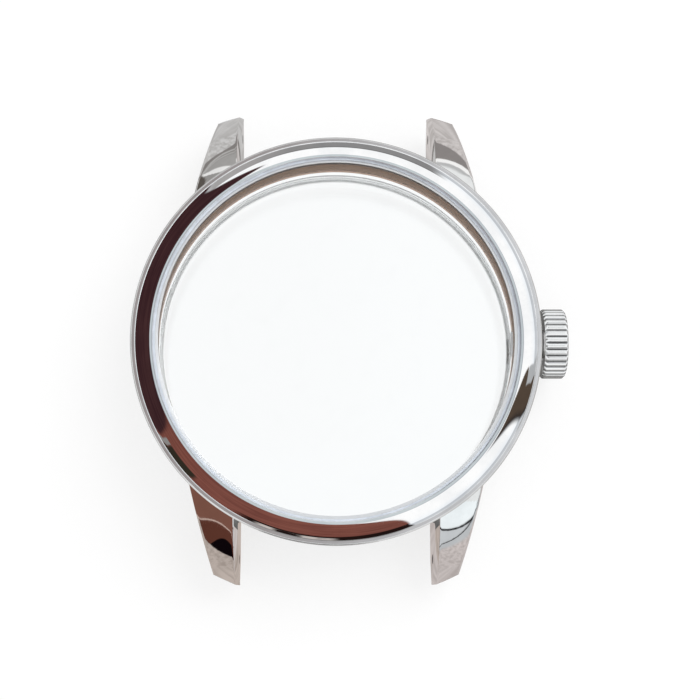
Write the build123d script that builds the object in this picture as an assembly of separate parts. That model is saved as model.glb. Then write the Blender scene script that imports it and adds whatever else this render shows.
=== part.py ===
from build123d import *
import os

# Empty 42 mm watch case with bezel, crystal, crown and screwed see-through back.
# Millimetres. +Z is up through the crystal, +Y points to 12 o'clock and +X to the crown.
# The origin is on the case axis, in the plane that the case back rests on.

# Case middle
case_radius = 21.0
case_height = 9.2
case_wall = 1.7
flank_bottom_bevel = 0.75
flank_bottom_bevel_height = 1.3
flange_edge_bevel = 0.15
bezel_ledge = 0.45

# Casing ring, bored for a movement of 36.6 mm, and the stem hole
ring_clearance = 0.05
ring_wall = 0.9
movement_flange_step = 0.3
movement_flange_height = 0.45
stem_depth = 2.0
stem_slot_radius = 1.3
dial_thickness = 0.4
lip_clearance = 0.1
ring_end_gap = 0.1

# Inner ring below the crystal
opening_step = 0.2
rehaut_depth = 1.8
rehaut_flange_thickness = 0.4
rehaut_edge_bevel = 0.12
rehaut_clearance = 0.02

# Crystal and its ring
crystal_overlap = 0.25
crystal_rim_drop = 0.05
crystal_bevel_width = 0.35
crystal_bevel_height = 0.3
crystal_dome_height = 0.65
crystal_gasket_thickness = 0.22
crystal_gasket_recess = 0.1

# Bezel and its ring
bezel_height = 0.95
bezel_skirt_depth = 0.8
bezel_skirt_wall = 0.6
bezel_inner_bevel_width = 0.24
bezel_inner_bevel_height = 0.25
bezel_bulge = 0.24
bezel_gasket_thickness = 0.2

# Case back
back_flange_thickness = 1.18
back_flange_margin = 0.05
back_seat_gap = 0.02
back_edge_bevel = 0.2
thread_length = 2.0
thread_clearance = 0.05
back_bore_step = 0.35
window_ledge_width = 0.6
window_ledge_thickness = 0.6
window_edge_bevel = 0.25
back_glass_thickness = 1.4
back_glass_gasket_thickness = 0.15
back_glass_gasket_height = 1.5
notch_count = 6
notch_width = 2.2
notch_length = 0.9
notch_depth = 0.7

# Back O-ring, its groove and the washer that the back turns on
back_seal_section = 0.46
back_seal_groove_width = 0.6
back_seal_groove_clearance = 0.05
slip_washer_thickness = 0.1
slip_washer_clearance = 0.04

# Locating pin of the casing ring
pin_radius = 0.18
pin_engagement = 0.5

# Lugs
strap_width = 20.0
lug_overhang = 4.15
lug_tip_slant = 1.15
lug_tip_width = 2.6
lug_root_width = 5.0
lug_tip_rise = 2.7
lug_tip_thickness = 1.0
lug_tip_undercut = 0.2
lug_shoulder_drop = 0.8
lug_shoulder_inset = 4.0
lug_bend_drop_share = 0.42
lug_bend_reach_share = 0.64
lug_belly_rise = 0.5
lug_belly_setback = 2.55
lug_bevel = 0.4
spring_bar_hole_radius = 0.5
spring_bar_hole_depth = 1.1
spring_bar_setback = 2.75
spring_bar_rise = 3.4

# Crown, its tube and seal
crown_radius = 3.65
crown_gap = 0.55
crown_flute_count = 32
crown_flute_depth = 0.2
crown_flute_bevel = 0.2
crown_dome_height = 0.4
crown_dome_step = 0.25
crown_end_wall = 0.75
tube_radius = 1.5
tube_end_gap = 0.3
tube_inset = 0.1
post_radius = 1.0
post_clearance = 0.05
post_wall = 0.5
post_length = 3.7
post_seat_depth = 0.4
stem_thread_depth = 3.0
crown_seal_section = 0.76
crown_seal_clearance = 0.045
crown_seal_end_play = 0.24
crown_washer_thickness = 0.25
crown_washer_inset = 0.4
crown_washer_clearance = 0.1

# Shared by all cuts that run past the faces they open
overrun = 1.0

# Radii that follow from the sizes above, from the case wall inwards
bore_radius = case_radius - case_wall
ring_outer_radius = bore_radius - ring_clearance
seat_radius = ring_outer_radius - ring_wall
pocket_radius = seat_radius + movement_flange_step
lip_radius = pocket_radius + lip_clearance
opening_radius = seat_radius - opening_step
crystal_radius = opening_radius + crystal_overlap
bezel_bore_radius = crystal_radius + crystal_gasket_thickness
bezel_skirt_radius = bezel_bore_radius + bezel_skirt_wall
socket_radius = bezel_skirt_radius + bezel_gasket_thickness
bezel_radius = case_radius - bezel_ledge
neck_radius = bore_radius - thread_clearance
back_bore_radius = seat_radius + back_bore_step
back_glass_radius = back_bore_radius - back_glass_gasket_thickness
window_radius = back_bore_radius - window_ledge_width
back_flange_radius = bore_radius + back_seal_groove_width + back_flange_margin
seal_mid_radius = bore_radius + back_seal_groove_width / 2

# Heights that follow, from the plane that the back rests on upwards
case_bottom = back_flange_thickness + back_seat_gap
case_top = case_bottom + case_height
neck_top = case_bottom + thread_length
crystal_seat = case_top - bezel_skirt_depth
lip_top = crystal_seat - rehaut_flange_thickness
crystal_gasket_top = case_top + bezel_height - bezel_inner_bevel_height - crystal_gasket_recess
rehaut_bottom = crystal_seat - rehaut_depth
lip_bottom = rehaut_bottom - dial_thickness
ring_bottom = neck_top + ring_end_gap
crown_height = lip_bottom - stem_depth
groove_top = back_flange_thickness + slip_washer_thickness + back_seal_section + back_seal_groove_clearance

# Places along the axis of the crown, from the case outwards
crown_mouth = case_radius + crown_gap
crown_washer_start = crown_mouth + crown_washer_inset
crown_seal_start = crown_washer_start + crown_washer_thickness
crown_cavity_floor = crown_seal_start + crown_seal_section + crown_seal_end_play
crown_shoulder = crown_cavity_floor + crown_end_wall
post_end = crown_cavity_floor + post_seat_depth
crown_cavity_radius = tube_radius + crown_seal_section + 2 * crown_seal_clearance
crown_dome_radius = crown_radius - crown_flute_bevel - crown_dome_step

# Places of the lugs
lug_reach = case_radius + lug_overhang
lug_shoulder_reach = case_radius - lug_shoulder_inset
lug_shoulder_height = case_top - lug_shoulder_drop
lug_belly_reach = lug_reach - lug_belly_setback
lug_belly_height = case_bottom + lug_belly_rise
lug_tip_height = case_bottom + lug_tip_rise
lug_root_reach = (case_radius ** 2 - (strap_width / 2 + lug_root_width) ** 2) ** 0.5
spring_bar_height = case_bottom + spring_bar_rise


def turned(points):
    """Solid turned about the case axis from a closed outline of (radius, height) points."""
    line = Polyline(*[(radius, 0, height) for radius, height in points], close=True)
    return revolve(make_face(line.edges()), Axis.Z)


def disc(radius, bottom, top):
    """Plain cylinder on the case axis between two heights."""
    return Pos(0, 0, bottom) * Cylinder(radius, top - bottom, align=(Align.CENTER, Align.CENTER, Align.MIN))


def tube(inner, outer, bottom, top):
    """Plain ring on the case axis between two radii and two heights."""
    return turned([(inner, bottom), (outer, bottom), (outer, top), (inner, top)])


def dome(radius, base, rise):
    """Arc of a spherical dome, from its rim up to its apex on the axis."""
    sphere = (radius ** 2 + rise ** 2) / (2 * rise)
    half = radius / 2
    middle = base + rise - sphere + (sphere ** 2 - half ** 2) ** 0.5
    return ThreePointArc((radius, 0, base), (half, 0, middle), (0, 0, base + rise))


def on_crown_axis(solid):
    """Turn a solid made along +Z so that it lies along +X, at the height of the crown."""
    return Pos(0, 0, crown_height) * Rot(0, 90, 0) * solid


def lug_plan():
    """Outline of one lug from above, from inside the case wall to the slanted tip."""
    inner = strap_width / 2
    root = lug_root_reach - lug_root_width
    return Polyline(
        (inner, root),
        (inner, lug_reach),
        (inner + lug_tip_width, lug_reach - lug_tip_slant),
        (inner + lug_root_width, lug_root_reach),
        (inner + lug_root_width, root),
        close=True,
    )


def lug_side(offset, drop):
    """Side face of one lug at a distance from its inner face: the top falls in one arc to the tip."""
    root = lug_root_reach - lug_root_width
    shoulder = lug_shoulder_height - drop
    tip = lug_tip_height - drop
    middle = (
        lug_shoulder_reach + (lug_reach - lug_shoulder_reach) * lug_bend_reach_share,
        shoulder - (shoulder - tip) * lug_bend_drop_share,
    )
    top = ThreePointArc((lug_shoulder_reach, shoulder), middle, (lug_reach, tip))
    rest = Polyline(
        (lug_reach, tip),
        (lug_reach - lug_tip_undercut, lug_tip_height - lug_tip_thickness),
        (lug_belly_reach, lug_belly_height),
        (root, lug_belly_height),
        (root, shoulder),
        (lug_shoulder_reach, shoulder),
    )
    return Plane.YZ.offset(strap_width / 2 + offset) * make_face((top + rest).edges())


def lug():
    """The lug at 1 o'clock, with a bevel along the top of its inner face."""
    plan = extrude(make_face(lug_plan().edges()), case_top, dir=(0, 0, 1))
    bevelled = loft([lug_side(0, lug_bevel), lug_side(lug_bevel, 0)], ruled=True)
    side = bevelled + extrude(lug_side(lug_bevel, 0), lug_root_width, dir=(1, 0, 0))
    hole = Pos(strap_width / 2, lug_reach - spring_bar_setback, spring_bar_height) * Rot(0, 90, 0) * Cylinder(
        spring_bar_hole_radius, spring_bar_hole_depth * 2)
    return (plan & side) - hole


def case_middle():
    """Steel body: turned ring, four lugs, bored for bezel, casing ring, back thread and tube."""
    blank = turned([
        (0, case_bottom),
        (case_radius - flank_bottom_bevel, case_bottom),
        (case_radius, case_bottom + flank_bottom_bevel_height),
        (case_radius, case_top - flange_edge_bevel),
        (case_radius - flange_edge_bevel, case_top),
        (0, case_top),
    ])
    one = lug()
    right = one + mirror(one, Plane.XZ)
    body = blank + right + mirror(right, Plane.YZ)
    body -= disc(bore_radius, 0, lip_bottom)
    body -= disc(lip_radius, 0, case_top + overrun)
    body -= disc(socket_radius, lip_top, case_top + overrun)
    body -= disc(bore_radius + back_seal_groove_width, 0, groove_top)
    body -= on_crown_axis(Pos(0, 0, case_radius) * Cylinder(tube_radius, case_wall * 2 + overrun))
    body -= ring_locating_pin()
    return body


def ring_locating_pin():
    """The locating pin at 9 o'clock, half in the lip of the case and half in the casing ring."""
    middle = (lip_radius + ring_outer_radius) / 2
    return Pos(-middle, 0, lip_bottom) * Cylinder(pin_radius, pin_engagement * 2)


def bezel():
    """Convex ring with a bevel at its inner edge and a skirt that is pressed into the case."""
    crown_edge = (bezel_bore_radius + bezel_inner_bevel_width, case_top + bezel_height)
    foot = (bezel_radius, case_top)
    across = foot[0] - crown_edge[0]
    down = crown_edge[1] - foot[1]
    slope = (across ** 2 + down ** 2) ** 0.5
    middle = (
        (crown_edge[0] + foot[0]) / 2 + bezel_bulge * down / slope,
        (crown_edge[1] + foot[1]) / 2 + bezel_bulge * across / slope,
    )
    corners = [
        foot,
        (bezel_skirt_radius, case_top),
        (bezel_skirt_radius, crystal_seat),
        (bezel_bore_radius, crystal_seat),
        (bezel_bore_radius, crown_edge[1] - bezel_inner_bevel_height),
        crown_edge,
    ]
    top = ThreePointArc(*[(radius, 0, height) for radius, height in (crown_edge, middle, foot)])
    rest = Polyline(*[(radius, 0, height) for radius, height in corners])
    return revolve(make_face((top + rest).edges()), Axis.Z)


def bezel_gasket():
    """Nylon ring between the skirt of the bezel and its socket in the case."""
    return tube(bezel_skirt_radius, socket_radius, crystal_seat, case_top)


def crystal():
    """Glass with a flat underside, a bevelled rim and a low dome."""
    rim = crystal_gasket_top - crystal_rim_drop
    shoulder_radius = crystal_radius - crystal_bevel_width
    shoulder = rim + crystal_bevel_height
    corners = [
        (0, shoulder + crystal_dome_height),
        (0, crystal_seat),
        (crystal_radius, crystal_seat),
        (crystal_radius, rim),
        (shoulder_radius, shoulder),
    ]
    rest = Polyline(*[(radius, 0, height) for radius, height in corners])
    top = dome(shoulder_radius, shoulder, crystal_dome_height)
    return revolve(make_face((top + rest).edges()), Axis.Z)


def crystal_gasket():
    """Nylon ring that the crystal is pressed into."""
    return tube(crystal_radius, bezel_bore_radius, crystal_seat, crystal_gasket_top)


def rehaut_ring():
    """Inner ring: a flange held under bezel and crystal, and a wall down to the dial."""
    return turned([
        (opening_radius, rehaut_bottom),
        (lip_radius, rehaut_bottom),
        (lip_radius, lip_top),
        (socket_radius - rehaut_clearance, lip_top),
        (socket_radius - rehaut_clearance, crystal_seat),
        (opening_radius + rehaut_edge_bevel, crystal_seat),
        (opening_radius, crystal_seat - rehaut_edge_bevel),
    ])


def movement_ring():
    """Casing ring with a pocket for the flange of the movement, a pin hole and a stem slot open to the back."""
    pocket_floor = lip_bottom - movement_flange_height
    body = turned([
        (seat_radius, ring_bottom),
        (ring_outer_radius, ring_bottom),
        (ring_outer_radius, lip_bottom),
        (pocket_radius, lip_bottom),
        (pocket_radius, pocket_floor),
        (seat_radius, pocket_floor),
    ])
    through = ring_wall * 2 + overrun
    slot_length = crown_height - ring_bottom + overrun
    slot = Box(through, stem_slot_radius * 2, slot_length, align=(Align.CENTER, Align.CENTER, Align.MAX))
    body -= Pos(seat_radius, 0, crown_height) * slot
    body -= on_crown_axis(Pos(0, 0, seat_radius) * Cylinder(stem_slot_radius, through))
    return body - ring_locating_pin()


def crown_tube():
    """Steel tube pressed through the case wall, with a bore for the post of the crown."""
    start = bore_radius + tube_inset
    end = crown_cavity_floor - tube_end_gap
    middle = (start + end) / 2
    body = Cylinder(tube_radius, end - start) - Cylinder(post_radius + post_clearance, end - start)
    return on_crown_axis(Pos(0, 0, middle) * body)


def fluted_outline():
    """Outline of the crown from its end: one convex arc for each flute."""
    step = 360 / crown_flute_count
    groove = crown_radius - crown_flute_depth
    arcs = []
    for index in range(crown_flute_count):
        start = Vector(groove, 0).rotate(Axis.Z, step * index)
        ridge = Vector(crown_radius, 0).rotate(Axis.Z, step * (index + 0.5))
        end = Vector(groove, 0).rotate(Axis.Z, step * (index + 1))
        arcs.append(ThreePointArc(start, ridge, end))
    return make_face(arcs)


def crown_shell():
    """Fluted head with bevelled flutes, a domed end and a cavity for tube and O-ring."""
    tip = crown_shoulder + crown_dome_height
    length = tip - crown_mouth + 2 * overrun
    fluted = Pos(0, 0, crown_mouth - overrun) * extrude(fluted_outline(), length, dir=(0, 0, 1))
    corners = [
        (0, tip),
        (0, post_end),
        (post_radius, post_end),
        (post_radius, crown_cavity_floor),
        (crown_cavity_radius, crown_cavity_floor),
        (crown_cavity_radius, crown_mouth),
        (crown_radius - crown_flute_bevel, crown_mouth),
        (crown_radius, crown_mouth + crown_flute_bevel),
        (crown_radius, crown_shoulder - crown_flute_bevel),
        (crown_radius - crown_flute_bevel, crown_shoulder),
        (crown_dome_radius, crown_shoulder),
    ]
    rest = Polyline(*[(radius, 0, height) for radius, height in corners])
    end = dome(crown_dome_radius, crown_shoulder, crown_dome_height)
    envelope = revolve(make_face((end + rest).edges()), Axis.Z)
    return on_crown_axis(fluted & envelope)


def crown_post():
    """Pipe pressed into the crown, drilled for the thread of the stem."""
    start = post_end - post_length
    body = disc(post_radius, start, post_end) - disc(post_radius - post_wall, start, start + stem_thread_depth)
    return on_crown_axis(body)


def crown_gasket_washer():
    """Washer pressed into the mouth of the crown to hold its O-ring."""
    inner = tube_radius + crown_washer_clearance
    return on_crown_axis(tube(inner, crown_cavity_radius, crown_washer_start, crown_seal_start))


def crown_gasket():
    """O-ring between the tube and the cavity of the crown."""
    middle = (tube_radius + crown_cavity_radius) / 2
    place = (crown_seal_start + crown_cavity_floor) / 2
    return on_crown_axis(Pos(0, 0, place) * Torus(middle, crown_seal_section / 2))


def back_ring():
    """Case back: flange, threaded neck, ledge for its glass, and notches for the opening tool."""
    body = turned([
        (window_radius + window_edge_bevel, 0),
        (back_flange_radius - back_edge_bevel, 0),
        (back_flange_radius, back_edge_bevel),
        (back_flange_radius, back_flange_thickness),
        (neck_radius, back_flange_thickness),
        (neck_radius, neck_top),
        (back_bore_radius, neck_top),
        (back_bore_radius, window_ledge_thickness),
        (window_radius, window_ledge_thickness),
        (window_radius, window_edge_bevel),
    ])
    notch = Box(notch_length * 2, notch_width, notch_depth * 2)
    for index in range(notch_count):
        body -= Rot(0, 0, 360 / notch_count * index) * Pos(back_flange_radius, 0, 0) * notch
    return body


def back_glass():
    """Window of the case back, laid on the ledge from inside."""
    return disc(back_glass_radius, window_ledge_thickness, window_ledge_thickness + back_glass_thickness)


def back_glass_gasket():
    """Nylon ring that the back glass is pressed into."""
    top = window_ledge_thickness + back_glass_gasket_height
    return tube(back_glass_radius, back_bore_radius, window_ledge_thickness, top)


def back_slip_washer():
    """Thin washer on the flange of the back, under the O-ring."""
    inner = neck_radius + slip_washer_clearance
    outer = bore_radius + back_seal_groove_width - slip_washer_clearance
    return tube(inner, outer, back_flange_thickness, back_flange_thickness + slip_washer_thickness)


def back_gasket():
    """O-ring in the groove round the thread of the case back."""
    section = back_seal_section / 2
    height = back_flange_thickness + slip_washer_thickness + section
    return Pos(0, 0, height) * Torus(seal_mid_radius, section)


def main():
    """Write one STEP file for each piece."""
    os.makedirs("parts", exist_ok=True)
    pieces = {
        "case_middle": case_middle(),
        "bezel": bezel(),
        "bezel_gasket": bezel_gasket(),
        "crystal": crystal(),
        "crystal_gasket": crystal_gasket(),
        "rehaut_ring": rehaut_ring(),
        "movement_ring": movement_ring(),
        "ring_locating_pin": ring_locating_pin(),
        "crown_tube": crown_tube(),
        "crown_shell": crown_shell(),
        "crown_post": crown_post(),
        "crown_gasket": crown_gasket(),
        "crown_gasket_washer": crown_gasket_washer(),
        "back_ring": back_ring(),
        "back_glass": back_glass(),
        "back_glass_gasket": back_glass_gasket(),
        "back_gasket": back_gasket(),
        "back_slip_washer": back_slip_washer(),
    }
    for name, solid in pieces.items():
        export_step(solid, f"parts/{name}.step")


main()
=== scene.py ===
"""Empty watch case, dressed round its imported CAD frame.

Every length in the classes is in millimetres and MM turns it into metres. The frame is the CAD's: the case axis is Z,
12 o'clock is +Y, the crown lies along +X, and the back rests on the plane z = 0. A point closer to an axis than
TOUCHING lies on it. STEPS and FINE_STEPS are how many steps a turned piece has round its axis, and edges with an angle
over SHARP_DEGREES between their faces are shaded sharp.
"""

import logging
import math
from collections.abc import Callable, Iterator, Sequence
from dataclasses import dataclass
from enum import Enum
from functools import cache
from typing import ClassVar

import bpy
import numpy as np
from mathutils import Matrix, Vector


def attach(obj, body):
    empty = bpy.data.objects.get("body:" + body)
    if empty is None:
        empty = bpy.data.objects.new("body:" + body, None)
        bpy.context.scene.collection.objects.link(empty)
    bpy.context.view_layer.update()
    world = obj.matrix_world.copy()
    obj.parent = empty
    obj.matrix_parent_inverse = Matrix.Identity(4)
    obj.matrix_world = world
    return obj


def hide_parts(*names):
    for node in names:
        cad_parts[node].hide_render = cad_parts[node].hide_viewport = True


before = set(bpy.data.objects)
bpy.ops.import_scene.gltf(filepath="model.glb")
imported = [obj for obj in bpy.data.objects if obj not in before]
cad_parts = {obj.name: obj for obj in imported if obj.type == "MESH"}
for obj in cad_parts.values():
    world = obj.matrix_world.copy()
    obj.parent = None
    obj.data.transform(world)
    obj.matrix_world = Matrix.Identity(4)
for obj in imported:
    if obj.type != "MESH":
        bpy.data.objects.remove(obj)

MM = 0.001
TOUCHING = 1e-6
STEPS = 288
FINE_STEPS = 360
SHARP_DEGREES = 32.0
LOG = logging.getLogger("watch_case")
Colour = tuple[float, float, float]
WHITE: Colour = (1.0, 1.0, 1.0)


# ---------------------------------------------------------------- shader maths

def operator(operation: str, swapped: bool = False) -> Callable[["Value", object], "Value"]:
    """A method that joins a Value with another value by one Math node.

    Args:
        operation: the Math node's operation.
        swapped: whether the other value comes first.

    Returns:
        The method.
    """
    def method(first: "Value", second: object) -> "Value":
        """Add the node and return its result."""
        pair = (second, first) if swapped else (first, second)
        return first.graph.value("ShaderNodeMath", {"operation": operation}, dict(enumerate(pair)))
    return method


class Value:
    """A number socket of a shader graph that takes part in Python expressions.

    turn_from is the angle whose tangent is this value over the other, in radians from -pi to pi.
    """

    def __init__(self, graph: "Graph", socket: bpy.types.NodeSocket) -> None:
        """Wrap one output socket of a graph."""
        self.graph = graph
        self.socket = socket

    __add__, __radd__ = operator("ADD"), operator("ADD", True)
    __sub__, __rsub__ = operator("SUBTRACT"), operator("SUBTRACT", True)
    __mul__, __rmul__ = operator("MULTIPLY"), operator("MULTIPLY", True)
    __truediv__, __rtruediv__ = operator("DIVIDE"), operator("DIVIDE", True)
    __pow__ = operator("POWER")
    larger = operator("MAXIMUM")
    smaller = operator("MINIMUM")
    turn_from = operator("ARCTAN2")

    def ramp(self, low: float, high: float) -> "Value":
        """Smooth step from 0 at low to 1 at high. High may be the smaller number."""
        settings = {"interpolation_type": "SMOOTHSTEP"}
        return self.graph.value("ShaderNodeMapRange", settings, {"Value": self, "From Min": low, "From Max": high})

    def within(self, low: float, high: float, soft: float) -> "Value":
        """1 between low and high and 0 outside, with soft edges of the given width."""
        return self.ramp(low - soft, low + soft) * self.ramp(high + soft, high - soft)


class Graph:
    """The node tree of one material or world, with one way to add a node."""

    def __init__(self, tree: bpy.types.NodeTree) -> None:
        """Take over a node tree and empty it."""
        self.tree = tree
        self.tree.nodes.clear()

    def node(self, kind: str, settings: dict[str, object] | None = None,
             values: dict[object, object] | None = None) -> bpy.types.Node:
        """Add one node.

        Args:
            kind: the node's type.
            settings: its properties, set before its sockets.
            values: its input sockets by name or number: numbers, colours, sockets or Values.

        Returns:
            The new node.
        """
        node = self.tree.nodes.new(kind)
        for name, setting in (settings or {}).items():
            setattr(node, name, setting)
        for key, value in (values or {}).items():
            source = value.socket if isinstance(value, Value) else value
            if isinstance(source, bpy.types.NodeSocket):
                self.tree.links.new(source, node.inputs[key])
            else:
                node.inputs[key].default_value = (*source, 1.0) if isinstance(source, tuple) else source
        return node

    def value(self, kind: str, settings: dict[str, object] | None = None,
              values: dict[object, object] | None = None, output: object = 0) -> Value:
        """Add a node and return one of its outputs as a Value."""
        return Value(self, self.node(kind, settings, values).outputs[output])

    def place(self) -> bpy.types.NodeSocket:
        """Object coordinates, in metres in the shared frame."""
        return self.node("ShaderNodeTexCoord").outputs["Object"]

    def parts(self, vector: object) -> tuple[Value, Value, Value]:
        """The three numbers of a vector."""
        node = self.node("ShaderNodeSeparateXYZ", None, {"Vector": vector})
        return tuple(Value(self, node.outputs[axis]) for axis in "XYZ")

    def joined(self, x: object, y: object, z: object) -> bpy.types.NodeSocket:
        """A vector from three numbers."""
        return self.node("ShaderNodeCombineXYZ", None, {"X": x, "Y": y, "Z": z}).outputs["Vector"]

    def direction(self) -> tuple[Value, Value, Value, Value]:
        """Where the place lies, seen from the frame's origin.

        Returns:
            The direction's three numbers, and the distance in metres.
        """
        x, y, z = self.parts(self.place())
        length = (x * x + y * y + z * z) ** 0.5
        return x / length, y / length, z / length, length

    def noise(self, vector: object, scale: float, detail: float = 3.0, roughness: float = 0.5) -> Value:
        """Fractal noise from 0 to 1 with the given number of waves per metre."""
        values = {"Vector": vector, "Scale": scale, "Detail": detail, "Roughness": roughness}
        return self.value("ShaderNodeTexNoise", None, values, "Fac")

    def mark(self, label: str) -> Value:
        """A number that the builder wrote on the mesh's points."""
        return self.value("ShaderNodeAttribute", {"attribute_name": label}, None, "Fac")

    def is_ray(self, kind: str) -> Value:
        """1 for a ray of a kind, as Camera or Shadow, and 0 for all others."""
        return self.value("ShaderNodeLightPath", output=f"Is {kind} Ray")

    def mixed(self, share: object, first: object, second: object) -> bpy.types.NodeSocket:
        """Colour between first and second by share."""
        return self.node("ShaderNodeMix", {"data_type": "RGBA"}, {0: share, 6: first, 7: second}).outputs[2]

    def laid(self, base: object, *layers: tuple[object, object]) -> object:
        """Lay colours over a base, one after another.

        Args:
            base: the colour below.
            layers: each layer's share and colour.

        Returns:
            The colour on top.
        """
        for share, colour in layers:
            base = self.mixed(share, base, colour)
        return base

    def bump(self, height: object, depth: float) -> bpy.types.NodeSocket:
        """Normal bent by a height from 0 to 1 that stands for a depth in metres."""
        values = {"Height": height, "Distance": depth, "Strength": 1.0}
        return self.node("ShaderNodeBump", None, values).outputs["Normal"]

    def shader(self, kind: str, values: dict[object, object] | None = None) -> bpy.types.NodeSocket:
        """Add a shader node, named without the start that all node types share, and return its output."""
        return self.node("ShaderNode" + kind, None, values).outputs[0]

    def blend(self, share: object, first: object, second: object) -> bpy.types.NodeSocket:
        """Shader between first and second by share."""
        return self.shader("MixShader", {0: share, 1: first, 2: second})

    def finish(self, surface: object, output: str = "ShaderNodeOutputMaterial") -> None:
        """Join a shader to the tree's output."""
        self.node(output, None, {"Surface": surface})


def scaled(colour: Colour, factor: float) -> Colour:
    """A linear colour times a factor, at most white."""
    return tuple(min(1.0, channel * factor) for channel in colour)


# ---------------------------------------------------------------- finishes

class Brushing(Enum):
    """Which way the brush marks of a satin finish run."""

    AROUND_CASE = "around the case axis"
    ALONG_AXIS = "along the case axis"
    AROUND_CROWN = "around the crown axis"


def new_material(name: str) -> tuple[bpy.types.Material, Graph]:
    """Make an empty material.

    Args:
        name: its name.

    Returns:
        The material and its graph.
    """
    material = bpy.data.materials.new(name)
    material.use_nodes = True
    return material, Graph(material.node_tree)


class Surface:
    """What all finishes share: each builds a shader, which becomes a material here."""

    name: str

    @cache
    def material(self) -> bpy.types.Material:
        """Make the material, once for all pieces of the finish.

        Returns:
            The material.
        """
        material, graph = new_material(self.name)
        graph.finish(self.surface(graph))
        return material


@dataclass(frozen=True)
class PolishedSteel(Surface):
    """Mirror-polished steel with a faint haze, fine hairlines and polishing ripple.

    The ripple is long, low noise, and a mottle, where there is one, is finer. The hairlines are thin bands of noise
    stretched along a direction. Worn edges are duller, and hollows are dull and darkened by painted shade.
    """

    name: str
    tint: Colour = (0.91, 0.915, 0.915)
    roughness: float = 0.035
    haze: float = 0.05
    ripple_depth: float = 0.0012
    ripple_size: float = 2.2
    mottle_depth: float = 0.0
    mottle_size: float = 0.45
    hairline_width: float = 0.09
    smudge_size: float = 6.0
    bump_reach: float = 0.01
    cloud_size: float = 3.5
    tint_range: tuple[float, float] = (0.93, 1.04)
    hairline_rough: float = 0.05
    hairline_height: float = 0.004
    edge_rough: float = 0.10
    hollow_rough: float = 0.25
    hollow_shade: Colour = (0.12, 0.12, 0.125)
    hollow_shade_share: float = 0.9

    def surface(self, graph: Graph) -> bpy.types.NodeSocket:
        """Build the shader.

        Args:
            graph: the material's graph.

        Returns:
            The shader's output.
        """
        place = graph.place()
        x, y, z = graph.parts(place)
        cloud = graph.noise(place, 1 / (self.cloud_size * MM), 4.0, 0.6)
        across = graph.joined(x * 0.12 + y * 0.9, y * 0.12 - x * 0.9, z * 0.3)
        hairline = graph.noise(across, 1 / (self.hairline_width * MM), 2.0, 0.6).ramp(0.66, 0.78)
        smudge = graph.noise(place, 1 / (self.smudge_size * MM), 3.0, 0.55).ramp(0.45, 0.72)
        hollow = graph.mark("hollow")
        rough = (self.roughness + self.haze * cloud * smudge + self.hairline_rough * hairline * smudge
                 + self.edge_rough * graph.mark("edge") + self.hollow_rough * hollow)
        dark, light = (scaled(self.tint, factor) for factor in self.tint_range)
        # the hollow layer is painted shade: the bottoms of the crown's flutes are darkened towards a near-black colour
        colour = graph.laid(dark, (cloud.ramp(0.3, 0.7), light),
                            (hollow.ramp(0.3, 0.95) * self.hollow_shade_share, self.hollow_shade))
        height = graph.noise(place, 1 / (self.ripple_size * MM), 1.0) * (self.ripple_depth / self.bump_reach)
        if self.mottle_depth:
            mottle = graph.noise(place, 1 / (self.mottle_size * MM), 3.0)
            height = height + mottle * (self.mottle_depth / self.bump_reach)
        normal = graph.bump(height + hairline * self.hairline_height, self.bump_reach * MM)
        return graph.shader("BsdfPrincipled", {
            "Base Color": colour, "Metallic": 1.0, "Roughness": rough, "Normal": normal})


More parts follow.
